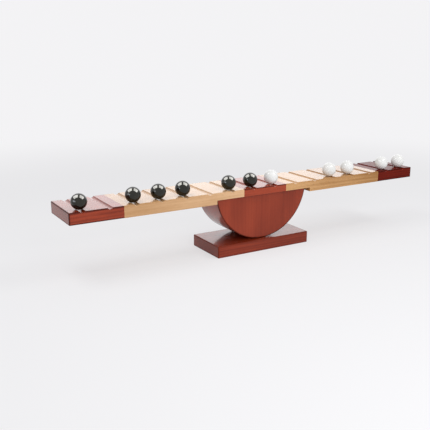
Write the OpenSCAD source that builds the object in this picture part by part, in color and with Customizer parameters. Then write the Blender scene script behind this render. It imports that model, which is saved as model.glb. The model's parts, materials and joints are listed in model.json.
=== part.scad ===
// Tabletop balance game. A beam with grooves across its top sits on a half-round rocker, the
// rocker stands on a flat base, and glass marbles lie in the grooves.
// Millimetres, +Z up, the beam along X. The origin is the centre of the base's underside.

/* [Beam] */
// Distance between neighbouring grooves
groove_pitch = 38.1; // [34:0.1:44]
// Grooves on each stained end block
end_rows = 2; // [2:1:4]
// Grooves on each pale plank
plank_rows = 5; // [5:1:7]
// Grooves on the stained centre block
centre_rows = 2; // [2:1:4]
// Width of the beam from front to back
beam_w = 76; // [66:1:100]
// Thickness of the beam
beam_t = 17; // [15:0.5:24]
// Chamfer on the outer edges of the wood
edge_ease = 1; // [0.4:0.1:2]

/* [Grooves] */
// Radius of the round bottom of a groove
groove_r = 5; // [4:0.5:10]
// Depth of a groove below the top of the beam
groove_depth = 2; // [1:0.1:3]

/* [Rocker] */
// Radius of the round face that rolls on the base
rocker_r = 81.5; // [70:0.5:100]
// How far the faces of the rocker stand back from the faces of the beam
rocker_inset = 8; // [2:0.5:16]
// Depth of the seat cut into the beam for the rocker's flat top
seat_depth = 6; // [3:0.5:7]
// Free length at each end of the seat
seat_play = 3.5; // [1:0.5:8]

/* [Base] */
// How far the base reaches past the rocker at each end
base_reach = 1.75; // [0.5:0.25:30]
// Width of the base from front to back
base_w = 76; // [66:1:120]
// Thickness of the base
base_t = 18; // [12:0.5:30]

/* [Marbles] */
// Diameter of a marble
marble_d = 22; // [18:0.5:26]
// Distance of the front and back marbles from the long edges of the beam, to their centres
marble_inset = 14; // [11:0.5:20]

/* [Joinery] */
// Diameter of a dowel
dowel_d = 6; // [4:0.5:6]
// Length of a dowel
dowel_l = 24; // [16:1:24]
// Distance between the two dowels of a joint
dowel_spacing = 38; // [20:1:46]

/* [Clearances] */
// Glue gap around a dowel
glue_gap = 0.05; // [0.02:0.01:0.1]
// Free space past each end of a dowel
dowel_end_gap = 0.5; // [0.2:0.1:1]
// Gap between the rocker's round face and the base
rocker_gap = 0.2; // [0.1:0.05:0.3]
// Gap between a marble and the edges of its groove
marble_gap = 0.1; // [0.05:0.05:0.3]

/* [Hidden] */
// Where the marbles lie: row counted from the left end, then -1 for front, 0 for middle, 1 for back
black_places = [[1, -1], [3, -1], [4, -1], [5, -1], [7, -1], [8, -1]];
white_places = [[9, -1], [12, -1], [13, -1], [15, -1], [16, -1]];

red_stain = [0.58, 0.22, 0.15];
dark_stain = [0.45, 0.14, 0.10];
pale_wood = [0.82, 0.65, 0.43];
dowel_wood = [0.80, 0.70, 0.54];
black_glass = [0.05, 0.05, 0.05];
white_glass = [0.92, 0.91, 0.88];

rows = 2 * end_rows + 2 * plank_rows + centre_rows;
beam_l = rows * groove_pitch;
centre_joint = centre_rows * groove_pitch / 2;
end_joint = centre_joint + plank_rows * groove_pitch;

// The axis of the rocker's round face lies in the top of the beam
axis_z = base_t + rocker_gap + rocker_r;
beam_top = axis_z;
beam_bottom = beam_top - beam_t;
web_t = beam_t - seat_depth;
seat_top = beam_top - web_t;
rocker_l = 2 * sqrt(rocker_r * rocker_r - web_t * web_t);
rocker_w = beam_w - 2 * rocker_inset;
board_w = rocker_w / 3;
seat_l = rocker_l + 2 * seat_play;
base_l = rocker_l + 2 * base_reach;

// A marble rests on both edges of its groove, or on the bottom of a wide one
marble_r = marble_d / 2;
groove_half_w = sqrt(groove_r * groove_r - pow(groove_r - groove_depth, 2));
marble_lift = groove_r < marble_r
    ? sqrt(marble_r * marble_r - groove_half_w * groove_half_w)
    : marble_r - groove_depth;
marble_z = beam_top + marble_lift + marble_gap;
marble_y = beam_w / 2 - marble_inset;

overcut = 1;
$fn = 128;

// Position of a groove along the beam, rows counted from 1 at the left end
function row_x(row) = (row - (rows + 1) / 2) * groove_pitch;

// Height of the dowels of a joint: the middle of the wood that is left there
function dowel_z(x) = beam_top - (abs(x) < seat_l / 2 ? web_t : beam_t) / 2;

// Rectangle with its corners cut off
module eased_rectangle(w, h) {
    x = w / 2;
    y = h / 2;
    e = edge_ease;
    polygon([
        [-x + e, -y], [x - e, -y], [x, -y + e], [x, y - e],
        [x - e, y], [-x + e, y], [-x, y - e], [-x, -y + e]
    ]);
}

// Block with all its edges chamfered, standing on z = 0
module eased_block(l, w, t) {
    translate([0, 0, t / 2]) intersection() {
        linear_extrude(t, center = true) eased_rectangle(l, w);
        rotate([90, 0, 0]) linear_extrude(w, center = true) eased_rectangle(l, t);
        rotate([90, 0, 90]) linear_extrude(l, center = true) eased_rectangle(w, t);
    }
}

// Round-bottomed groove right across the beam
module groove(x) {
    translate([x, 0, beam_top - groove_depth + groove_r])
        rotate([90, 0, 0]) cylinder(h = beam_w + 2 * overcut, r = groove_r, center = true);
}

// Two dowels lying across a joint, or the holes for them when grown by the gaps
module dowel_pair(x, side_gap = 0, end_gap = 0) {
    for (y = [-dowel_spacing / 2, dowel_spacing / 2])
        translate([x, y, dowel_z(x)])
            rotate([0, 90, 0])
                cylinder(h = dowel_l + 2 * end_gap, d = dowel_d + 2 * side_gap, center = true);
}

// Stretch of the beam from x0 to x1, with its grooves, its share of the seat and its dowel holes
module beam_block(x0, x1) {
    difference() {
        intersection() {
            translate([0, 0, beam_bottom]) eased_block(beam_l, beam_w, beam_t);
            translate([x0, -beam_w / 2, beam_bottom]) cube([x1 - x0, beam_w, beam_t]);
        }
        for (row = [1 : rows])
            if (row_x(row) > x0 && row_x(row) < x1) groove(row_x(row));
        translate([-seat_l / 2, -beam_w / 2 - overcut, beam_bottom - overcut])
            cube([seat_l, beam_w + 2 * overcut, seat_depth + overcut]);
        for (x = [-end_joint, -centre_joint, centre_joint, end_joint])
            if (x == x0 || x == x1) dowel_pair(x, glue_gap, dowel_end_gap);
    }
}

// One of the three boards of the rocker, counted from 0 at the front
module rocker_board(i) {
    y = rocker_w / 2;
    intersection() {
        translate([0, 0, axis_z]) rotate([90, 0, 0]) rotate_extrude()
            polygon([
                [0, -y], [rocker_r - edge_ease, -y], [rocker_r, -y + edge_ease],
                [rocker_r, y - edge_ease], [rocker_r - edge_ease, y], [0, y]
            ]);
        translate([-rocker_r, -y + i * board_w, 0]) cube([2 * rocker_r, board_w, seat_top]);
    }
}

module marble(place) {
    translate([row_x(place[0]), place[1] * marble_y, marble_z]) sphere(d = marble_d);
}

module base_block() { color(red_stain) eased_block(base_l, base_w, base_t); }

module rocker_front_board() { color(red_stain) rocker_board(0); }
module rocker_middle_board() { color(red_stain) rocker_board(1); }
module rocker_back_board() { color(red_stain) rocker_board(2); }

module beam_left_end() { color(red_stain) beam_block(-beam_l / 2, -end_joint); }
module beam_left_plank() { color(pale_wood) beam_block(-end_joint, -centre_joint); }
module beam_centre_block() { color(red_stain) beam_block(-centre_joint, centre_joint); }
module beam_right_plank() { color(pale_wood) beam_block(centre_joint, end_joint); }
module beam_right_end() { color(dark_stain) beam_block(end_joint, beam_l / 2); }

module left_end_dowels() { color(dowel_wood) dowel_pair(-end_joint); }
module left_centre_dowels() { color(dowel_wood) dowel_pair(-centre_joint); }
module right_centre_dowels() { color(dowel_wood) dowel_pair(centre_joint); }
module right_end_dowels() { color(dowel_wood) dowel_pair(end_joint); }

module black_marble(i) { color(black_glass) marble(black_places[i - 1]); }
module white_marble(i) { color(white_glass) marble(white_places[i - 1]); }

base_block();
rocker_front_board();
rocker_middle_board();
rocker_back_board();
beam_left_end();
beam_left_plank();
beam_centre_block();
beam_right_plank();
beam_right_end();
left_end_dowels();
left_centre_dowels();
right_centre_dowels();
right_end_dowels();
for (i = [1 : len(black_places)])
    black_marble(i);
for (i = [1 : len(white_places)])
    white_marble(i);
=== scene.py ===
"""Builds the looks of a wooden balance game: a base, a rocker, a grooved beam and glass marbles."""

import json
import math
from functools import partial
from typing import NamedTuple

import bmesh
import bpy
from bpy.props import FloatProperty, FloatVectorProperty, IntProperty, PointerProperty
from mathutils import Euler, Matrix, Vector

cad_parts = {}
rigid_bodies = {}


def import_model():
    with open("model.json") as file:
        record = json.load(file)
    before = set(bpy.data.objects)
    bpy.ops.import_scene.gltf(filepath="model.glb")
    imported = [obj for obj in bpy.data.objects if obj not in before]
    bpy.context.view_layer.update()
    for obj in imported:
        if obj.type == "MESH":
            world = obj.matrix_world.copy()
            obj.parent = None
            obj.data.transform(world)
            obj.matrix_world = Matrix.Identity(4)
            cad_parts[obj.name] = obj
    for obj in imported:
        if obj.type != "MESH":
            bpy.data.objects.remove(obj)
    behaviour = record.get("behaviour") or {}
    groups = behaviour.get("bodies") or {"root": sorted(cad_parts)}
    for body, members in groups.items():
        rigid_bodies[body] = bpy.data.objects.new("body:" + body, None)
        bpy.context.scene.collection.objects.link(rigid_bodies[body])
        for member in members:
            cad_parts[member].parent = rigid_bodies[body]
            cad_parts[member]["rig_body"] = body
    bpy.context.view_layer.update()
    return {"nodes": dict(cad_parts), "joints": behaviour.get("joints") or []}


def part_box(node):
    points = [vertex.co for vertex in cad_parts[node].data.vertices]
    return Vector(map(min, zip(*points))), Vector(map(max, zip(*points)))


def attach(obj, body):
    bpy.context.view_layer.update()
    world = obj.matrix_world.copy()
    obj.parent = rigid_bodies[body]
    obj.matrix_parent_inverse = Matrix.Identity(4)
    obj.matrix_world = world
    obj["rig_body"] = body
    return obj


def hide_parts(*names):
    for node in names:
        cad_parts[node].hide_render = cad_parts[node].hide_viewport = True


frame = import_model()

bl_info = {
    "name": "Balance Game",
    "version": (1, 0, 0),
    "blender": (4, 5, 0),
    "location": "View3D > Sidebar > Balance Game",
    "description": "Builds a wooden balance game with a grooved beam on a half-round rocker",
    "category": "Object",
}

# The frame's nodes: the boards from front to back, everything else from left to right
BASE_BLOCK = "base_block"
ROCKER_BOARDS = ("rocker_front_board", "rocker_middle_board", "rocker_back_board")
BEAM_BLOCKS = (
    "beam_left_end", "beam_left_plank", "beam_centre_block", "beam_right_plank", "beam_right_end")
JOINT_DOWELS = (
    "left_end_dowels", "left_centre_dowels", "right_centre_dowels", "right_end_dowels")
BLACK_COUNT = 6
WHITE_COUNT = 5
BLACK_MARBLES = tuple(f"black_marble_{i + 1}" for i in range(BLACK_COUNT))
WHITE_MARBLES = tuple(f"white_marble_{i + 1}" for i in range(WHITE_COUNT))

GROOVE_ROWS = 16
MM = 1000.0  # millimetres in a metre
X, Y, Z = range(3)
WHITE = (1.0, 1.0, 1.0, 1.0)


# Settings


def shade(red, green, blue):
    """The linear colour of a shade that is given as a screen shows it, 0 to 255."""
    def linear(level):
        level /= 255
        return level / 12.92 if level <= 0.04045 else ((level + 0.055) / 1.055) ** 2.4
    return linear(red), linear(green), linear(blue)


def number(label, about, default, least=0.0, **limits):
    return FloatProperty(name=label, description=about, default=default, min=least, **limits)


def length(label, about, default):
    return number(label, about, default, unit="LENGTH", precision=5)


def angle(label, about, degrees):
    default = math.radians(degrees)
    return FloatProperty(name=label, description=about, default=default, subtype="ANGLE")


def colour(label, about, default):
    return FloatVectorProperty(
        name=label, description=about, default=default, subtype="COLOR", min=0.0, max=1.0)


class WoodworkSettings(bpy.types.PropertyGroup):
    """Sizes of the wooden pieces that the frame doesn't give."""

    edge_round: length("Edge rounding", "Rounding of the outer edges of the wood", 0.0010)
    top_round: length("Rocker top rounding", "Rounding of the edges of the rocker's top", 0.0004)
    seat_round: length("Seat rounding", "Rounding of the edges of the seat in the beam", 0.0003)
    seam_round: length("Seam rounding", "Rounding of the edges along a glued joint", 0.00012)
    seat_play: length("Seat play", "Free length at each end of the seat in the beam", 0.0035)
    groove_radius: length("Groove radius", "Radius of the round bottom of a groove", 0.0050)
    groove_depth: length("Groove depth", "Depth of a groove below the top of the beam", 0.0020)
    groove_lip: length("Groove lip", "Rounding of the long edges of a groove", 0.00035)
    flute_depth: length("Flute depth", "Depth of the glue channels of a dowel", 0.00025)
    dowel_taper: length("Dowel taper", "Length of the tapered ends of a dowel", 0.0016)
    dowel_flutes: IntProperty(
        name="Dowel flutes", description="Glue channels around a dowel", default=16, min=6, max=32)


class FinishSettings(bpy.types.PropertyGroup):
    """Colours of the wood and the glass."""

    red_light: colour("Red stain, light", "Stained early wood", shade(158, 62, 35))
    red_deep: colour("Red stain, deep", "Stained late wood", shade(118, 39, 18))
    red_pore: colour("Red stain, pores", "Stain gathered in the pores", shade(58, 16, 9))
    dark_light: colour("Dark stain, light", "Darker stained early wood", shade(114, 28, 12))
    dark_deep: colour("Dark stain, deep", "Darker stained late wood", shade(86, 15, 6))
    dark_pore: colour("Dark stain, pores", "Dark stain gathered in the pores", shade(40, 8, 4))
    pale_light: colour("Pale plank, light", "Early wood of the left plank", shade(218, 177, 135))
    pale_deep: colour("Pale plank, deep", "Late wood of the left plank", shade(190, 146, 101))
    pale_pore: colour("Pale plank, pores", "Pores of the left plank", shade(142, 98, 56))
    honey_light: colour("Honey plank, light", "Early wood of the right plank", shade(203, 157, 106))
    honey_deep: colour("Honey plank, deep", "Late wood of the right plank", shade(161, 113, 61))
    honey_pore: colour("Honey plank, pores", "Pores of the right plank", shade(124, 80, 42))
    dowel_light: colour("Dowel, light", "Bare early wood of a dowel", shade(216, 190, 150))
    dowel_deep: colour("Dowel, deep", "Bare late wood of a dowel", shade(190, 158, 116))
    dowel_pore: colour("Dowel, pores", "Pores of a dowel", shade(190, 158, 116))
    black_glass: colour("Black glass", "Body of a black marble", (0.005, 0.005, 0.004))
    black_swirl: colour("Black swirl", "Faint swirl in a black marble", (0.014, 0.012, 0.007))
    white_glass: colour("White glass", "Body of a white marble", (0.80, 0.80, 0.79))
    white_swirl: colour("White swirl", "Faint swirl in a white marble", (0.75, 0.75, 0.73))


class StageSettings(bpy.types.PropertyGroup):
    """Camera, floor and light."""

    azimuth: angle("Azimuth", "Camera's turn about the object", -30.547)
    elevation: angle("Elevation", "Camera's height angle", 15.142)
    distance: length("Distance", "From the camera to the point it looks at", 0.99335)
    target: FloatVectorProperty(
        name="Target", description="Point that the camera looks at", default=(-0.066, 0.0, 0.056),
        subtype="XYZ", unit="LENGTH")
    lens: number("Lens", "Focal length in millimetres", 54.85, least=10.0, unit="CAMERA")
    floor: colour("Floor", "Colour of the floor", (0.86, 0.86, 0.88))
    backdrop: colour("Backdrop", "Colour behind the object", (0.90, 0.895, 0.91))
    bounce: number(
        "Floor lift", "Share of the backdrop's colour in the floor", 0.65, max=1.0, subtype="FACTOR")
    ambient: number("Ambient", "Strength of the light from all around", 0.45)
    softbox: number("Softboxes", "Power of each overhead softbox", 2.8, unit="POWER")
    fill: number("Fill", "Power of the front fill light", 3.3, unit="POWER")
    sheen: number("Sheen", "Brightness of the glow that the lacquer mirrors", 0.9)
    card: number("Cards", "Brightness of the cards that the black marbles mirror", 13.0)
    window: number("Window", "Brightness of the window that the black marbles mirror", 5.85)


class BalanceGameSettings(bpy.types.PropertyGroup):
    """Everything that a user of the balance game may change."""

    woodwork: PointerProperty(type=WoodworkSettings)
    finish: PointerProperty(type=FinishSettings)
    stage: PointerProperty(type=StageSettings)


# Node trees


class Pattern(NamedTuple):
    """A noise in a material. Size is that of its features in millimetres, along three axes, and
    seed is added to the seed of the finish."""

    size: tuple
    seed: float
    detail: float
    roughness: float = 0.5


class Value:
    """One output of a node. Arithmetic on it adds Math nodes to its tree."""

    def __init__(self, tree, socket):
        self.tree = tree
        self.socket = socket

    def output(self, name):
        """Another output of the same node."""
        return Value(self.tree, self.socket.node.outputs[name])

    def __add__(self, other):
        return self.tree.math("ADD", self, other)

    def __radd__(self, other):
        return self.tree.math("ADD", other, self)

    def __sub__(self, other):
        return self.tree.math("SUBTRACT", self, other)

    def __rsub__(self, other):
        return self.tree.math("SUBTRACT", other, self)

    def __mul__(self, other):
        return self.tree.math("MULTIPLY", self, other)

    def __rmul__(self, other):
        return self.tree.math("MULTIPLY", other, self)

    def __truediv__(self, other):
        return self.tree.math("DIVIDE", self, other)

    def __rtruediv__(self, other):
        return self.tree.math("DIVIDE", other, self)

    def __abs__(self):
        return self.tree.math("ABSOLUTE", self)

    def root(self):
        return self.tree.math("SQRT", self)

    def floor(self):
        return self.tree.math("FLOOR", self)

    def fraction(self):
        return self.tree.math("FRACT", self)

    def least(self, other):
        return self.tree.math("MINIMUM", self, other)

    def most(self, other):
        return self.tree.math("MAXIMUM", self, other)

    def step(self, start, end, low=0.0, high=1.0):
        """Goes smoothly from low to high while this goes from start to end."""
        return self.tree.add(
            "ShaderNodeMapRange", {"interpolation_type": "SMOOTHSTEP"},
            {0: self, 1: start, 2: end, 3: low, 4: high})


class Tree:
    """A node tree under construction, of a material, the world or Geometry Nodes."""

    def __init__(self, nodes):
        self.nodes = nodes

    def add(self, kind, settings=None, sockets=None, output=0):
        """Adds a node of that type, sets its settings, then the values or links of its sockets."""
        node = self.nodes.nodes.new(kind)
        for name, setting in (settings or {}).items():
            setattr(node, name, setting)
        for key, value in (sockets or {}).items():
            for item in value if isinstance(value, list) else [value]:
                if isinstance(item, Value):
                    self.nodes.links.new(item.socket, node.inputs[key])
                else:
                    node.inputs[key].default_value = item
        return Value(self, node.outputs[output]) if node.outputs else None

    def math(self, operation, *values):
        return self.add("ShaderNodeMath", {"operation": operation}, dict(enumerate(values)))

    def vector(self, operation, *vectors):
        return self.add("ShaderNodeVectorMath", {"operation": operation}, dict(enumerate(vectors)))

    def scaled(self, vector, factor):
        settings = {"operation": "SCALE"}
        return self.add("ShaderNodeVectorMath", settings, {0: vector, "Scale": factor})

    def split(self, vector):
        """The three parts of a vector."""
        parts = self.add("ShaderNodeSeparateXYZ", None, {0: vector})
        return parts, parts.output("Y"), parts.output("Z")

    def join(self, x=0.0, y=0.0, z=0.0):
        """A vector from its three parts."""
        return self.add("ShaderNodeCombineXYZ", None, {X: x, Y: y, Z: z})

    def mix(self, factor, first, second):
        """Mixes two colours."""
        sockets = {0: factor, 6: first, 7: second}
        return self.add("ShaderNodeMix", {"data_type": "RGBA"}, sockets, output=2)

    def noise(self, place, pattern, seed, output="Fac"):
        return self.add("ShaderNodeTexNoise", {"noise_dimensions": "4D"}, {
            "Vector": self.vector("DIVIDE", place, pattern.size), "W": seed + pattern.seed,
            "Scale": 1.0, "Detail": pattern.detail, "Roughness": pattern.roughness}, output)

    def place(self):
        """The place on the piece, in millimetres."""
        return self.scaled(self.add("ShaderNodeTexCoord", output="Object"), MM)


def new_finish(name):
    material = bpy.data.materials.new(name)
    material.use_nodes = True
    material.node_tree.nodes.clear()
    return material, Tree(material.node_tree)


def surface(tree, sockets):
    """Closes a material with a Principled shader."""
    shader = tree.add("ShaderNodeBsdfPrincipled", None, sockets)
    tree.add("ShaderNodeOutputMaterial", None, {"Surface": shader})


def opaque(colour_setting):
    return (*colour_setting, 1.0)


# Wood


class Timber(NamedTuple):
    """What sets one piece of wood apart from another."""

    stain: str
    seed: float
    ring: float  # width of a growth ring in millimetres
    pith: tuple  # where the frame's origin lies in the log, in millimetres from the pith
    turn: tuple = (0.0, 0.0, 0.0)  # turn of the log, which otherwise lies along X
    figure: float = 1.0  # strength of the grain
    gather: float = 0.9  # stain that gathers along the edges
    deepen: float = 0.0  # how much darker all over
    # drift is painted shade: the wood grows darker or lighter along X, standing in for the light
    # falling off across the game
    drift: float = 0.0  # how much darker with each millimetre to the right
    lacquer: float = 1.0


SLOTS = {
    "red": "red_stain", "dark": "dark_stain", "pale": "pale_wood", "honey": "pale_wood",
    "dowel": "dowel_wood"}
# Each drift below is painted shade: the base, rocker and right plank darken to the right, and the left
# plank lightens towards the middle
BASE_TIMBER = Timber(
    "red", seed=2.0, ring=4.6, pith=(0, 30, 46), figure=1.3, gather=0.35, deepen=0.44, drift=0.0014)
ROCKER_TIMBER = Timber(
    "red", seed=11.0, ring=5.2, pith=(0, 24, 70), turn=(0, math.radians(90), 0), figure=0.32,
    deepen=0.25, drift=0.001)
BEAM_TIMBER = (
    Timber("red", seed=31.0, ring=4.4, pith=(0, 26, -118), figure=1.2),
    Timber("pale", seed=37.0, ring=5.8, pith=(133, -34, -52), figure=0.75, gather=0.15,
           deepen=0.15, drift=-0.0035),
    Timber("red", seed=43.0, ring=4.8, pith=(0, -22, -130), figure=1.2, deepen=-0.4),
    Timber("honey", seed=53.0, ring=6.2, pith=(-133, 42, -60), figure=0.75, gather=0.15,
           deepen=0.08, drift=0.006),
    Timber("dark", seed=61.0, ring=4.2, pith=(0, 30, -120), figure=1.2, deepen=0.1, lacquer=0.25),
)
DOWEL_TIMBER = Timber("dowel", seed=71.0, ring=2.6, pith=(0, 9, 14), lacquer=0.0)
BOARD_SEED_STEP = 7
BOARD_PITH_STEP = -31

# Patterns, along the log and then across it
SWAY = Pattern((210, 42, 42), 0, 1.5)
WANDER = Pattern((380, 17, 17), 3, 2.0)
FIBRES = Pattern((26, 0.75, 0.75), 5, 4.0, 0.62)
STREAKS = Pattern((75, 2.6, 2.6), 7, 3.0, 0.55)
CLOUDS = Pattern((95, 30, 30), 9, 2.0)
PORES = Pattern((5.5, 0.34, 0.34), 11, 1.0, 0.4)
MIDDLE = 0.5  # middle of a noise

# Growth rings
SWAY_REACH = (0.0, 16.0, 16.0)  # millimetres from side to side
WANDER_RINGS = 1.8  # rings from side to side
FAINTEST_RING = 0.3  # share of the strongest ring
LATE_RISE = (0.15, 0.9)  # parts of a year
LATE_FALL = (0.92, 1.0)

# Levels between which a pattern goes from nothing to full
PORE_LEVELS = (0.62, 0.74)
PORE_STREAKS = (0.35, 0.65)
END_GRAIN_FACING = (0.55, 0.9)
TONE_LEVELS = (-0.35, 0.95)

# How much each pattern darkens the wood
LATE_TONE = 0.5
STREAK_TONE = 1.3
FIBRE_TONE = 0.8
CLOUD_TONE = 1.1
END_GRAIN_TONE = 0.4
PORE_TINT = 0.5
END_GRAIN_PORE_LOSS = 0.2

# How much each pattern roughens the wood, and raises or sinks it
ROUGHNESS = 0.34
PORE_ROUGHNESS = 0.16
FIBRE_ROUGHNESS = 0.10
END_GRAIN_ROUGHNESS = 0.12
EDGE_ROUGHNESS = 0.12
FIBRE_RELIEF = 0.5
LATE_RELIEF = 0.35
PORE_RELIEF = 0.9
WOOD_BUMP = {"Strength": 0.22, "Distance": 0.00012}

# Gathered stain and thin lacquer along the edges, with bands in millimetres
GATHER_BAND = (0.7, 2.4)
GATHER_CLOUDS = (0.3, 0.65)
EVEN_GATHER = 0.6  # share that gathers whatever the clouds are
THIN_BAND = (0.9, 1.9)
THIN_LOSS = 0.85

LACQUER = {"Coat Roughness": 0.12, "Coat IOR": 1.25}
WOOD_GLOSS = 0.12  # specular level of wood under full lacquer


def box_arris(tree, place, low, high):
    """Distance in millimetres to the nearest edge of a box."""
    centre = tuple(MM * (a + b) / 2 for a, b in zip(low, high))
    half = tuple(MM * (b - a) / 2 for a, b in zip(low, high))
    from_centre = tree.vector("ABSOLUTE", tree.vector("SUBTRACT", place, centre))
    x, y, z = tree.split(tree.vector("SUBTRACT", half, from_centre))
    return x + y + z - x.most(y).most(z)


def rim_arris(tree, place, axis_height, radius, faces):
    """Distance in millimetres to the rim of the rocker, between its front and back faces."""
    x, y, z = tree.split(place)
    up = z - MM * axis_height
    from_rim = MM * radius - (x * x + up * up).root()
    from_face = (y - MM * faces[0]).least(MM * faces[1] - y)
    return abs(from_rim) + abs(from_face)


def growth_rings(tree, log, timber):
    """Late wood of the rings about the pith, from 0 in early wood to 1."""
    sway = tree.noise(log, SWAY, timber.seed, "Color")
    sway = tree.vector("SUBTRACT", sway, (MIDDLE, MIDDLE, MIDDLE))
    _, y, z = tree.split(tree.vector("ADD", log, tree.vector("MULTIPLY", sway, SWAY_REACH)))
    age = (y * y + z * z).root() / timber.ring + WANDER_RINGS * tree.noise(log, WANDER, timber.seed)
    year = age.fraction()
    vigour = tree.add(
        "ShaderNodeTexWhiteNoise", {"noise_dimensions": "1D"}, {"W": age.floor() + timber.seed})
    strength = FAINTEST_RING + (1 - FAINTEST_RING) * vigour
    return strength * year.step(*LATE_RISE) * (1 - year.step(*LATE_FALL))


def end_grain_faces(tree, timber):
    """1 on the faces that cut across the log."""
    normal = tree.add("ShaderNodeTexCoord", output="Normal")
    turned = tree.add("ShaderNodeMapping", {"vector_type": "NORMAL"}, {
        "Vector": normal, "Rotation": timber.turn})
    return abs(tree.split(turned)[X]).step(*END_GRAIN_FACING)


def wood(name, finish, timber, arris=None):
    """Wood cut from a log, with growth rings, fibres, pores and end grain, under a lacquer. Arris
    gives the distance to the nearest edge, where stain gathers and the lacquer is thin."""
    material, tree = new_finish(name)
    light, deep, pore = (
        opaque(getattr(finish, f"{timber.stain}_{part}")) for part in ("light", "deep", "pore"))
    place = tree.place()
    log = tree.add("ShaderNodeMapping", None, {
        "Vector": place, "Location": timber.pith, "Rotation": timber.turn})
    late = growth_rings(tree, log, timber)
    fibre, streak, cloud, pores = (
        tree.noise(log, pattern, timber.seed) for pattern in (FIBRES, STREAKS, CLOUDS, PORES))
    pores = pores.step(*PORE_LEVELS) * streak.step(*PORE_STREAKS)
    end_grain = end_grain_faces(tree, timber)

    grain = LATE_TONE * late + STREAK_TONE * (streak - MIDDLE) + FIBRE_TONE * (fibre - MIDDLE)
    tone = timber.figure * grain + CLOUD_TONE * (cloud - MIDDLE) + END_GRAIN_TONE * end_grain
    # painted shade: the drift darkens or lightens the tone along X, as though the light fell off
    # across the game
    tone = tone + timber.deepen + timber.drift * (tree.split(place)[X] + timber.pith[X])
    tint = tree.mix(tone.step(*TONE_LEVELS), light, deep)
    tint = tree.mix(pores * (PORE_TINT - END_GRAIN_PORE_LOSS * end_grain), tint, pore)
    roughness = ROUGHNESS + PORE_ROUGHNESS * pores + FIBRE_ROUGHNESS * (fibre - MIDDLE)
    roughness = roughness + END_GRAIN_ROUGHNESS * end_grain
    coat = timber.lacquer
    if arris is not None:
        edge = arris(tree, place)
        evenness = EVEN_GATHER + (1 - EVEN_GATHER) * cloud.step(*GATHER_CLOUDS)
        gathered = (1 - edge.step(*GATHER_BAND)) * evenness
        tint = tree.mix(timber.gather * gathered, tint, pore)
        roughness = roughness + EDGE_ROUGHNESS * gathered
        coat = timber.lacquer * (1 - THIN_LOSS * (1 - edge.step(*THIN_BAND)))
    relief = FIBRE_RELIEF * fibre + LATE_RELIEF * late - PORE_RELIEF * pores
    normal = tree.add("ShaderNodeBump", None, {**WOOD_BUMP, "Height": relief})
    surface(tree, {
        "Base Color": tint, "Roughness": roughness, "Normal": normal,
        "Specular IOR Level": WOOD_GLOSS * timber.lacquer, "Coat Weight": coat, **LACQUER})
    return material


# Glass


class Gloss(NamedTuple):
    """How a kind of glass mirrors its surroundings."""

    roughness: float
    index: float
    tint: tuple = WHITE


BLACK_GLOSS = Gloss(roughness=0.03, index=1.47, tint=(1.0, 0.99, 0.92, 1.0))
WHITE_GLOSS = Gloss(roughness=0.06, index=1.5)
BLACK_SEED = 5.0
WHITE_SEED = 105.0
GLASS_SEED_STEP = 13.0

SWIRL_DRIFT = Pattern((14, 14, 14), 0, 1.0)
SWIRL = Pattern((15, 6, 9), 2, 3.0)
HAZE = Pattern((3, 3, 3), 4, 3.0, 0.6)
MARKS = Pattern((0.5, 0.12, 0.6), 6, 2.0, 0.6)

SWIRL_REACH = (16.0, 16.0, 16.0)
SWIRL_LEVELS = (0.42, 0.72)
MARK_LEVELS = (0.62, 0.8)
HAZE_ROUGHNESS = 0.04
MARK_ROUGHNESS = 0.08
MARK_DEPTH = 0.4
GLASS_BUMP = {"Strength": 0.02, "Distance": 0.00005}


def glass(name, body, swirl, seed, gloss):
    """Opaque glass with a faint swirl and fine handling marks."""
    material, tree = new_finish(name)
    place = tree.place()
    drift = tree.vector("MULTIPLY", tree.noise(place, SWIRL_DRIFT, seed, "Color"), SWIRL_REACH)
    ribbon = tree.noise(tree.vector("ADD", place, drift), SWIRL, seed).step(*SWIRL_LEVELS)
    haze = tree.noise(place, HAZE, seed)
    marks = tree.noise(place, MARKS, seed).step(*MARK_LEVELS)
    normal = tree.add("ShaderNodeBump", None, {**GLASS_BUMP, "Height": haze - MARK_DEPTH * marks})
    surface(tree, {
        "Base Color": tree.mix(ribbon, opaque(body), opaque(swirl)), "Normal": normal,
        "Roughness": gloss.roughness + HAZE_ROUGHNESS * haze + MARK_ROUGHNESS * marks,
        "IOR": gloss.index, "Specular Tint": gloss.tint})
    return material


# Meshes

SHARP_EDGE = math.radians(20)
CLOSE = 1e-5  # metres between levels that count as the same
ROUND_SEGMENTS = 3
FACE_WEIGHT = 100  # the large faces set the normals


def new_tree(name, inputs):
    """A Geometry Nodes tree with these named inputs. Returns the tree and the inputs' values."""
    group = bpy.data.node_groups.new(name, "GeometryNodeTree")
    for label, kind in inputs.items():
        group.interface.new_socket(name=label, in_out="INPUT", socket_type=f"NodeSocket{kind}")
    group.interface.new_socket(name="Geometry", in_out="OUTPUT", socket_type="NodeSocketGeometry")
    tree = Tree(group)
    given = tree.add("NodeGroupInput")
    return tree, {label: given.output(label) for label in inputs}


def moved(tree, geometry, spot):
    return tree.add("GeometryNodeTransform", None, {"Geometry": geometry, "Translation": spot})


def close_tree(tree, geometry, material):
    """Ends a Geometry Nodes tree in one plain mesh with its finish."""
    real = tree.add("GeometryNodeRealizeInstances", None, {0: geometry})
    dressed = tree.add("GeometryNodeSetMaterial", None, {"Geometry": real, "Material": material})
    tree.add("NodeGroupOutput", None, {0: dressed})
    return tree.nodes


def new_piece(name, data):
    piece = bpy.data.objects.new(name, data)
    bpy.context.scene.collection.objects.link(piece)
    return piece


def mesh_piece(name, shape):
    """Turns a finished bmesh into a piece."""
    mesh = bpy.data.meshes.new(name)
    shape.to_mesh(mesh)
    shape.free()
    return new_piece(name, mesh)


def keep_evaluated(piece):
    """Turns a piece with modifiers into a plain mesh."""
    graph = bpy.context.evaluated_depsgraph_get()
    mesh = bpy.data.meshes.new_from_object(piece.evaluated_get(graph))
    piece.modifiers.clear()
    piece.data = mesh
    mesh.name = piece.name


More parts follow.
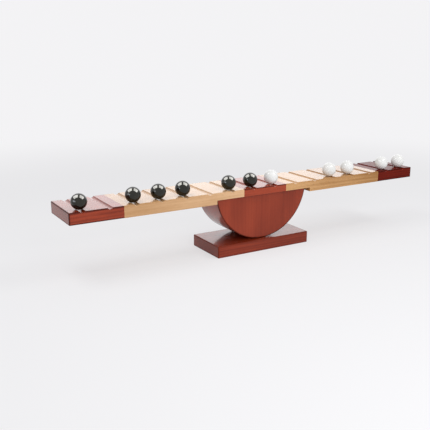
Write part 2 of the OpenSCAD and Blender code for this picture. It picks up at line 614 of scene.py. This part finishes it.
def grow(name, group, values):
    """Runs a Geometry Nodes tree once and keeps its mesh."""
    piece = new_piece(name, bpy.data.meshes.new(name))
    modifier = piece.modifiers.new(group.name, "NODES")
    modifier.node_group = group
    for item in group.interface.items_tree:
        if item.in_out == "INPUT" and values.get(item.name) is not None:
            modifier[item.identifier] = values[item.name]
    keep_evaluated(piece)
    if not piece.data.polygons:
        raise RuntimeError(f"{group.name} made no faces for {name}")
    return piece


def ease_edges(piece, width, rounding, segments=ROUND_SEGMENTS):
    """Rounds the sharp edges of a piece by up to this width. Rounding gives each edge its own."""
    shape = bmesh.new()
    shape.from_mesh(piece.data)
    weight = shape.edges.layers.float.new("bevel_weight_edge")
    for edge in shape.edges:
        if len(edge.link_faces) == 2 and edge.calc_face_angle() > SHARP_EDGE:
            edge[weight] = rounding(*(v.co for v in edge.verts)) / width
            edge.smooth = edge[weight] > 0
    for face in shape.faces:
        face.smooth = True
    shape.to_mesh(piece.data)
    shape.free()
    bevel = piece.modifiers.new("Eased edges", "BEVEL")
    bevel.limit_method = "WEIGHT"
    bevel.width = width
    bevel.segments = segments
    bevel.use_clamp_overlap = False
    flat = piece.modifiers.new("Flat faces", "WEIGHTED_NORMAL")
    flat.weight = FACE_WEIGHT
    flat.keep_sharp = True
    keep_evaluated(piece)


def near(a, b):
    return abs(a - b) < CLOSE


def lies_at(a, b, axis, *levels):
    """Whether both ends of an edge lie at one of these levels of an axis."""
    return any(near(a[axis], level) and near(b[axis], level) for level in levels)


def settle(piece, node, slot):
    """Puts a finished piece in the place of its CAD node, and in the collection of its finish."""
    body = frame["nodes"][node]["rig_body"]
    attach(piece, body)
    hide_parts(node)
    finish = bpy.data.collections.get(slot) or bpy.data.collections.new(slot)
    finish.objects.link(piece)


# Wooden pieces

BASE_SEGMENTS = 4
ROCKER_STEPS = 144
CUTTER_SIDES = 128
CUT_THROUGH = 1.2  # length of a cutter, in widths of the beam
MERGE = 1e-6  # metres between points that are made one
PAST_JOINT = 0.02  # metres by which the stain's box passes a glued end, so that none gathers there
FLUTE_POINTS = 6
DOWEL_STEPS = 24
TAPER_LOSS = 0.16  # share of the radius that the tapered ends lose
DOWEL_SLACK = 0.02  # share of the radius left free in the hole
DOWEL_SHORT = 0.99  # share of the length of the hole


class BALANCE_OT_base(bpy.types.Operator):
    """Makes the flat block that the rocker stands on"""

    bl_idname = "balance_game.base"
    bl_label = "Base"

    def execute(self, context):
        game = context.scene.balance_game
        low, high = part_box(BASE_BLOCK)
        shape = bmesh.new()
        bmesh.ops.create_cube(shape, size=1.0)
        for corner in shape.verts:
            corner.co = [a if c < 0 else b for c, a, b in zip(corner.co, low, high)]
        piece = mesh_piece("base", shape)
        width = game.woodwork.edge_round
        ease_edges(piece, width, lambda a, b: width, BASE_SEGMENTS)
        arris = partial(box_arris, low=low, high=high)
        piece.data.materials.append(wood("red_stain_base", game.finish, BASE_TIMBER, arris))
        settle(piece, BASE_BLOCK, SLOTS[BASE_TIMBER.stain])
        return {"FINISHED"}


class BALANCE_OT_rocker(bpy.types.Operator):
    """Makes the half-round rocker from its three glued boards"""

    bl_idname = "balance_game.rocker"
    bl_label = "Rocker"

    def execute(self, context):
        game = context.scene.balance_game
        axis = next(joint for joint in frame["joints"] if joint["name"] == "rock")["pos_m"]
        faces = [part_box(ROCKER_BOARDS[0])[0].y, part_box(ROCKER_BOARDS[-1])[1].y]
        for count, node in enumerate(ROCKER_BOARDS):
            low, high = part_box(node)
            radius = axis[Z] - low.z
            piece = self.board(node.replace("_board", ""), low, high, axis, radius)
            rounding = partial(self.rounding, faces=faces, top=high.z, sizes=game.woodwork)
            ease_edges(piece, game.woodwork.edge_round, rounding)
            arris = partial(rim_arris, axis_height=axis[Z], radius=radius, faces=faces)
            finish = wood(f"red_stain_{piece.name}", game.finish, self.timber(count), arris)
            piece.data.materials.append(finish)
            settle(piece, node, SLOTS[ROCKER_TIMBER.stain])
        return {"FINISHED"}

    def timber(self, count):
        """Each board comes from another part of the log."""
        along, across, up = ROCKER_TIMBER.pith
        return ROCKER_TIMBER._replace(
            seed=ROCKER_TIMBER.seed + BOARD_SEED_STEP * count,
            pith=(along, across + BOARD_PITH_STEP * count, up))

    def board(self, name, low, high, axis, radius):
        """A board with a flat top and a round face below."""
        start = math.asin((axis[Z] - high.z) / radius)
        sweep = math.pi - 2 * start
        turns = [start + sweep * i / ROCKER_STEPS for i in range(ROCKER_STEPS + 1)]
        outline = [
            (axis[X] - radius * math.cos(a), axis[Z] - radius * math.sin(a)) for a in turns]
        shape = bmesh.new()
        front = [shape.verts.new((x, low.y, z)) for x, z in outline]
        back = [shape.verts.new((x, high.y, z)) for x, z in outline]
        shape.faces.new(front)
        shape.faces.new(back[::-1])
        for i in range(len(outline)):
            j = (i + 1) % len(outline)
            shape.faces.new((front[j], front[i], back[i], back[j]))
        bmesh.ops.recalc_face_normals(shape, faces=shape.faces)
        return mesh_piece(name, shape)

    def rounding(self, a, b, faces, top, sizes):
        """The rim is rounded, the edges of the top less so, and the glued seams hardly at all."""
        if near(a.y, b.y) and not lies_at(a, b, Y, *faces):
            return sizes.seam_round
        return sizes.top_round if lies_at(a, b, Z, top) else sizes.edge_round


class Block(NamedTuple):
    """One block of the beam, in metres: its corners, its glued ends and the seat below it."""

    low: Vector
    high: Vector
    joints: list
    seat_half: float
    seat_top: float


class BALANCE_OT_beam(bpy.types.Operator):
    """Makes the five blocks of the beam, with their grooves, the rocker's seat and the dowel holes"""

    bl_idname = "balance_game.beam"
    bl_label = "Beam"

    def execute(self, context):
        game = context.scene.balance_game
        tree = self.grooved_block()
        blocks = self.blocks(game.woodwork)
        pitch = (blocks[-1].high.x - blocks[0].low.x) / GROOVE_ROWS
        dowels = [None, *(frame["nodes"][node] for node in JOINT_DOWELS), None]
        for count, (node, timber, block) in enumerate(zip(BEAM_BLOCKS, BEAM_TIMBER, blocks)):
            slot = SLOTS[timber.stain]
            finish = wood(f"{slot}_{node}", game.finish, timber, self.arris(block))
            piece = grow(node.replace("_", "-"), tree, {
                "Low corner": block.low, "High corner": block.high,
                "First groove": block.low.x + pitch / 2, "Pitch": pitch,
                "Grooves": round((block.high.x - block.low.x) / pitch),
                "Groove radius": game.woodwork.groove_radius,
                "Groove depth": game.woodwork.groove_depth,
                "Seat length": 2 * block.seat_half, "Seat height": block.seat_top,
                "Left dowels": dowels[count], "Right dowels": dowels[count + 1],
                "Finish": finish})
            rounding = partial(self.rounding, block=block, sizes=game.woodwork)
            ease_edges(piece, game.woodwork.edge_round, rounding)
            settle(piece, node, slot)
        return {"FINISHED"}

    def blocks(self, sizes):
        """The blocks as they are before the seat is cut."""
        boxes = [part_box(node) for node in BEAM_BLOCKS]
        ends = boxes[0][0].x, boxes[-1][1].x
        bottom = min(low.z for low, high in boxes)
        rocker_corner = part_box(ROCKER_BOARDS[0])[1]
        seat_half = rocker_corner.x + sizes.seat_play
        return [
            Block(Vector((low.x, low.y, bottom)), high, [x for x in (low.x, high.x) if x not in ends],
                  seat_half, rocker_corner.z)
            for low, high in boxes]

    def arris(self, block):
        """Gives the distance to the block's outer edges, but not to its glued ends."""
        left, right = (
            Vector((PAST_JOINT if x in block.joints else 0.0, 0, 0))
            for x in (block.low.x, block.high.x))
        return partial(box_arris, low=block.low - left, high=block.high + right)

    def grooved_block(self):
        """A block with round grooves across its top, less the seat and the dowel holes."""
        tree, given = new_tree("Grooved block", {
            "Low corner": "Vector", "High corner": "Vector", "First groove": "Float",
            "Grooves": "Int", "Pitch": "Float", "Groove radius": "Float", "Groove depth": "Float",
            "Seat length": "Float", "Seat height": "Float", "Left dowels": "Object",
            "Right dowels": "Object", "Finish": "Material"})
        low, high = given["Low corner"], given["High corner"]
        size = tree.vector("SUBTRACT", high, low)
        middle = tree.scaled(tree.vector("ADD", low, high), 0.5)
        block = moved(tree, tree.add("GeometryNodeMeshCube", None, {"Size": size}), middle)
        through = CUT_THROUGH * tree.split(size)[Y]
        cuts = [self.grooves(tree, given, through), self.seat(tree, given, through)]
        for side in ("Left dowels", "Right dowels"):
            rods = tree.add("GeometryNodeObjectInfo", None, {"Object": given[side]}, "Geometry")
            cuts.append(tree.add("GeometryNodeMergeByDistance", None, {
                "Geometry": rods, "Distance": MERGE}))
        solver = {"operation": "DIFFERENCE", "solver": "EXACT"}
        cut = tree.add("GeometryNodeMeshBoolean", solver, {"Mesh 1": block, "Mesh 2": cuts})
        return close_tree(tree, cut, given["Finish"])

    def grooves(self, tree, given, through):
        """A row of cylinders that cut the grooves."""
        lift = given["Groove radius"] - given["Groove depth"]
        top = tree.split(given["High corner"])[Z]
        row = tree.add("GeometryNodeMeshLine", None, {
            "Count": given["Grooves"], "Offset": tree.join(x=given["Pitch"]),
            "Start Location": tree.join(x=given["First groove"], z=top + lift)})
        cutter = tree.add("GeometryNodeMeshCylinder", None, {
            "Vertices": CUTTER_SIDES, "Radius": given["Groove radius"], "Depth": through})
        cutters = tree.add("GeometryNodeInstanceOnPoints", None, {
            "Points": row, "Instance": cutter, "Rotation": Euler((math.pi / 2, 0, 0))})
        return tree.add("GeometryNodeRealizeInstances", None, {0: cutters})

    def seat(self, tree, given, through):
        """A box that cuts the seat, half of it below the beam."""
        bottom = tree.split(given["Low corner"])[Z]
        size = tree.join(given["Seat length"], through, 2 * (given["Seat height"] - bottom))
        return moved(tree, tree.add("GeometryNodeMeshCube", None, {"Size": size}), tree.join(z=bottom))

    def rounding(self, a, b, block, sizes):
        """Outer edges are rounded, groove lips less so, and the glued joints hardly at all."""
        low, high = block.low, block.high
        if lies_at(a, b, X, *block.joints):
            skin = ((Z, low.z), (Z, high.z), (Z, block.seat_top), (Y, low.y), (Y, high.y))
            outside = all(any(near(end[axis], level) for axis, level in skin) for end in (a, b))
            return sizes.seam_round if outside else 0.0
        if lies_at(a, b, Z, block.seat_top) or any(near(abs(p.x), block.seat_half) for p in (a, b)):
            return sizes.seat_round
        if lies_at(a, b, Y, low.y, high.y):
            return sizes.edge_round
        if lies_at(a, b, Z, high.z) and not lies_at(a, b, X, low.x, high.x):
            return sizes.groove_lip
        outer = near(a.z, low.z) or near(a.x, low.x) or near(a.x, high.x)
        return sizes.edge_round if outer else 0.0


class BALANCE_OT_dowels(bpy.types.Operator):
    """Makes the fluted dowels inside the joints of the beam"""

    bl_idname = "balance_game.dowels"
    bl_label = "Dowels"

    def execute(self, context):
        game = context.scene.balance_game
        tree = self.fluted_pair()
        slot = SLOTS[DOWEL_TIMBER.stain]
        finish = wood(slot, game.finish, DOWEL_TIMBER)
        for node in JOINT_DOWELS:
            low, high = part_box(node)
            thick = high.z - low.z
            piece = grow(node.replace("_", "-"), tree, {
                "Centre": (low + high) / 2, "Diameter": thick, "Length": high.x - low.x,
                "Spacing": high.y - low.y - thick, "Taper": game.woodwork.dowel_taper,
                "Flutes": game.woodwork.dowel_flutes, "Flute depth": game.woodwork.flute_depth,
                "Finish": finish})
            settle(piece, node, slot)
        return {"FINISHED"}

    def fluted_pair(self):
        """Two dowels with glue channels along them and tapered ends."""
        tree, given = new_tree("Fluted dowels", {
            "Centre": "Vector", "Diameter": "Float", "Length": "Float", "Spacing": "Float",
            "Taper": "Float", "Flutes": "Int", "Flute depth": "Float", "Finish": "Material"})
        radius, reach = given["Diameter"] / 2, given["Length"] / 2
        rod = tree.add("GeometryNodeMeshCylinder", None, {
            "Vertices": given["Flutes"] * FLUTE_POINTS, "Side Segments": DOWEL_STEPS,
            "Radius": radius, "Depth": given["Length"]})
        x, y, z = tree.split(tree.add("GeometryNodeInputPosition"))
        channel = tree.math("COSINE", tree.math("ARCTAN2", y, x) * given["Flutes"]).step(0.0, 1.0)
        taper = TAPER_LOSS * (1 - (reach - abs(z)).step(0.0, given["Taper"]))
        slim = 1 - (DOWEL_SLACK + taper + channel * given["Flute depth"] / radius)
        shaped = tree.add("GeometryNodeSetPosition", None, {
            "Geometry": rod, "Position": tree.join(x * slim, y * slim, z * DOWEL_SHORT)})
        half = tree.join(y=given["Spacing"] / 2)
        pair = tree.add("GeometryNodeMeshLine", None, {
            "Count": 2, "Start Location": tree.vector("SUBTRACT", given["Centre"], half),
            "Offset": tree.join(y=given["Spacing"])})
        both = tree.add("GeometryNodeInstanceOnPoints", None, {
            "Points": pair, "Instance": shaped, "Rotation": Euler((0, math.pi / 2, 0))})
        return close_tree(tree, both, given["Finish"])


# Marbles

BALL_LEVELS = 6
OUT_OF_ROUND = 0.008  # share of the radius
LUMPS = {"Scale": 90.0, "Detail": 1.0}  # scale in lumps to a metre


def marble_tree():
    """A glass ball that is very slightly out of round, as a pressed marble is."""
    tree, given = new_tree("Marble", {
        "Centre": "Vector", "Diameter": "Float", "Out of round": "Float", "Seed": "Float",
        "Finish": "Material"})
    ball = tree.add("GeometryNodeMeshIcoSphere", None, {
        "Radius": given["Diameter"] / 2, "Subdivisions": BALL_LEVELS})
    spot = tree.add("GeometryNodeInputPosition")
    lump = tree.add("ShaderNodeTexNoise", {"noise_dimensions": "4D"}, {
        "Vector": spot, "W": given["Seed"], **LUMPS})
    pressed = tree.add("GeometryNodeSetPosition", None, {
        "Geometry": ball, "Position": tree.scaled(spot, 1 - given["Out of round"] * lump)})
    placed = moved(tree, pressed, given["Centre"])
    smooth = tree.add("GeometryNodeSetShadeSmooth", None, {"Geometry": placed, "Shade Smooth": True})
    return close_tree(tree, smooth, given["Finish"])


def lay_marbles(nodes, slot, body, swirl, seed, gloss):
    """Puts a marble in the place of each of these nodes."""
    tree = marble_tree()
    for count, node in enumerate(nodes):
        low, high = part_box(node)
        finish = glass(f"{slot}_{count + 1}", body, swirl, seed + GLASS_SEED_STEP * count, gloss)
        piece = grow(node.replace("_", "-"), tree, {
            "Centre": (low + high) / 2, "Diameter": high.z - low.z, "Out of round": OUT_OF_ROUND,
            "Seed": seed + count, "Finish": finish})
        settle(piece, node, slot)


class BALANCE_OT_black_marbles(bpy.types.Operator):
    """Makes the black glass marbles"""

    bl_idname = "balance_game.black_marbles"
    bl_label = "Black marbles"

    def execute(self, context):
        finish = context.scene.balance_game.finish
        lay_marbles(
            BLACK_MARBLES, "black_glass", finish.black_glass, finish.black_swirl, BLACK_SEED,
            BLACK_GLOSS)
        return {"FINISHED"}


class BALANCE_OT_white_marbles(bpy.types.Operator):
    """Makes the white glass marbles"""

    bl_idname = "balance_game.white_marbles"
    bl_label = "White marbles"

    def execute(self, context):
        finish = context.scene.balance_game.finish
        lay_marbles(
            WHITE_MARBLES, "white_glass", finish.white_glass, finish.white_swirl, WHITE_SEED,
            WHITE_GLOSS)
        return {"FINISHED"}


# Stage


class Place(NamedTuple):
    """Where a light or card stands, and how wide and high it is, in metres."""

    spot: tuple
    size: tuple


SOFTBOX_LEFT = Place((-0.55, 0.08, 1.00), (0.55, 0.40))
SOFTBOX_RIGHT = Place((0.56, -0.44, 0.92), (0.45, 0.40))
FRONT_FILL = Place((-0.10, -0.86, 0.44), (0.60, 0.45))
CARD_LEFT = Place((-1.54, 0.88, 2.62), (2.65, 2.65))
CARD_RIGHT = Place((1.52, -0.64, 2.71), (2.75, 2.8))
WINDOW = Place((-3.18, -0.20, 0.60), (2.2, 0.9))
WINDOW_TINT = (0.80, 0.86, 1.0, 1.0)
LIT_POINT = Vector((0, 0, 0.08))  # what the lights and cards face

# The glow, with its edge and its core as cosines of the angle from its middle
GLOW_DIRECTION = Vector((1.38, 2.34, 1.02)).normalized()
GLOW_EDGE = math.cos(math.radians(48))
GLOW_CORE = math.cos(math.radians(22))

FLOOR_RADIUS = 12.0
FLOOR_SIDES = 96
FLOOR_FADE = (0.45, 1.3)  # metres from the origin over which the floor goes over to the backdrop
CLIP_START = 0.01


class BALANCE_OT_stage(bpy.types.Operator):
    """Makes the floor, the lights and the camera"""

    bl_idname = "balance_game.stage"
    bl_label = "Stage"

    def execute(self, context):
        stage = context.scene.balance_game.stage
        context.scene.view_settings.view_transform = "Standard"
        self.world(context.scene, stage)
        self.floor(stage)
        self.softbox("softbox_left", SOFTBOX_LEFT, stage.softbox)
        self.softbox("softbox_right", SOFTBOX_RIGHT, stage.softbox)
        fill = self.softbox("front_fill", FRONT_FILL, stage.fill)
        fill.visible_glossy = False
        self.card("card_left", CARD_LEFT, stage.card)
        self.card("card_right", CARD_RIGHT, stage.card)
        self.card("window", WINDOW, stage.window, WINDOW_TINT)
        self.camera(context.scene, stage)
        return {"FINISHED"}

    def seen(self, tree):
        """1 where the camera, a reflection or glass looks, and 0 where light is gathered."""
        path = tree.add("ShaderNodeLightPath")
        shown = path.output("Is Camera Ray").most(path.output("Is Glossy Ray"))
        return shown.most(path.output("Is Transmission Ray"))

    def world(self, scene, stage):
        """Light from all around, and a backdrop with a glow that only reflections show."""
        world = bpy.data.worlds.new("studio")
        scene.world = world
        world.cycles.sampling_method = "NONE"
        world.use_nodes = True
        world.node_tree.nodes.clear()
        tree = Tree(world.node_tree)
        light = tree.add("ShaderNodeBackground", None, {"Color": WHITE, "Strength": stage.ambient})
        toward = tree.add("ShaderNodeTexCoord", output="Generated")
        glow = tree.vector("DOT_PRODUCT", toward, GLOW_DIRECTION).output("Value")
        mirrored = tree.add("ShaderNodeLightPath", output="Is Glossy Ray")
        bright = 1 + stage.sheen * glow.step(GLOW_EDGE, GLOW_CORE) * mirrored
        shown = tree.add("ShaderNodeBackground", None, {
            "Color": opaque(stage.backdrop), "Strength": bright})
        both = tree.add("ShaderNodeMixShader", None, {0: self.seen(tree), 1: light, 2: shown})
        tree.add("ShaderNodeOutputWorld", None, {"Surface": both})

    def floor(self, stage):
        """A round floor that keeps the object's shadow and goes over to the backdrop."""
        shape = bmesh.new()
        bmesh.ops.create_circle(shape, cap_ends=True, segments=FLOOR_SIDES, radius=FLOOR_RADIUS)
        floor = mesh_piece("floor", shape)
        material, tree = new_finish("studio_floor")
        x, y, _ = tree.split(tree.add("ShaderNodeTexCoord", output="Object"))
        away = (x * x + y * y).root()
        fade = away.step(*FLOOR_FADE, stage.bounce, 1.0) * self.seen(tree)
        lit = tree.add("ShaderNodeBsdfDiffuse", None, {"Color": opaque(stage.floor)})
        far = tree.add("ShaderNodeEmission", None, {
            "Color": opaque(stage.backdrop), "Strength": 1.0})
        both = tree.add("ShaderNodeMixShader", None, {0: fade, 1: lit, 2: far})
        tree.add("ShaderNodeOutputMaterial", None, {"Surface": both})
        floor.data.materials.append(material)

    def aim(self, place):
        """The turn of a light or card that faces the object."""
        return (LIT_POINT - Vector(place.spot)).to_track_quat("-Z", "Y")

    def softbox(self, name, place, power):
        lamp = bpy.data.lights.new(name, "AREA")
        lamp.shape = "RECTANGLE"
        lamp.size, lamp.size_y = place.size
        lamp.energy = power
        light = new_piece(name, lamp)
        light.location = place.spot
        light.rotation_euler = self.aim(place).to_euler()
        light.visible_camera = False
        return light

    def card(self, name, place, brightness, tint=WHITE):
        """A clear glowing panel that only shows in the reflections on the black marbles."""
        width, height = place.size
        turn = self.aim(place)
        corners = [
            Vector(place.spot) + turn @ Vector((x * width / 2, y * height / 2, 0))
            for x, y in ((-1, 1), (1, 1), (1, -1), (-1, -1))]
        mesh = bpy.data.meshes.new(name)
        mesh.from_pydata(corners, [], [range(len(corners))])
        material, tree = new_finish(name)
        glow = tree.add("ShaderNodeEmission", None, {"Color": tint, "Strength": brightness})
        clear = tree.add("ShaderNodeBsdfTransparent")
        both = tree.add("ShaderNodeAddShader", None, {0: glow, 1: clear})
        tree.add("ShaderNodeOutputMaterial", None, {"Surface": both})
        material.cycles.emission_sampling = "NONE"
        mesh.materials.append(material)
        panel = new_piece(name, mesh)
        panel.visible_camera = False
        panel.visible_diffuse = False
        panel.visible_transmission = False
        panel.visible_shadow = False
        panel.light_linking.receiver_collection = bpy.data.collections["black_glass"]

    def camera(self, scene, stage):
        lens = bpy.data.cameras.new("camera")
        lens.lens = stage.lens
        lens.clip_start = CLIP_START
        camera = new_piece("camera", lens)
        level = math.cos(stage.elevation)
        back = Vector((
            math.sin(stage.azimuth) * level, -math.cos(stage.azimuth) * level,
            math.sin(stage.elevation)))
        camera.location = Vector(stage.target) + stage.distance * back
        camera.rotation_euler = back.to_track_quat("Z", "Y").to_euler()
        scene.camera = camera


class BALANCE_PT_pieces(bpy.types.Panel):
    """Lists the pieces and the settings of the balance game"""

    bl_idname = "BALANCE_PT_pieces"
    bl_label = "Balance Game"
    bl_space_type = "VIEW_3D"
    bl_region_type = "UI"
    bl_category = "Balance Game"

    def draw(self, context):
        game = context.scene.balance_game
        for operator in OPERATORS:
            self.layout.operator(operator.bl_idname)
        for group in (game.woodwork, game.finish, game.stage):
            box = self.layout.box()
            for name in group.__annotations__:
                box.prop(group, name)


OPERATORS = (
    BALANCE_OT_base, BALANCE_OT_rocker, BALANCE_OT_beam, BALANCE_OT_dowels,
    BALANCE_OT_black_marbles, BALANCE_OT_white_marbles, BALANCE_OT_stage)
CLASSES = (
    WoodworkSettings, FinishSettings, StageSettings, BalanceGameSettings, *OPERATORS,
    BALANCE_PT_pieces)


def register():
    for item in CLASSES:
        bpy.utils.register_class(item)
    bpy.types.Scene.balance_game = PointerProperty(type=BalanceGameSettings)


def unregister():
    del bpy.types.Scene.balance_game
    for item in reversed(CLASSES):
        bpy.utils.unregister_class(item)


def main():
    register()
    bpy.ops.balance_game.base()
    bpy.ops.balance_game.rocker()
    bpy.ops.balance_game.beam()
    bpy.ops.balance_game.dowels()
    bpy.ops.balance_game.black_marbles()
    bpy.ops.balance_game.white_marbles()
    bpy.ops.balance_game.stage()


if __name__ == "__main__":
    main()
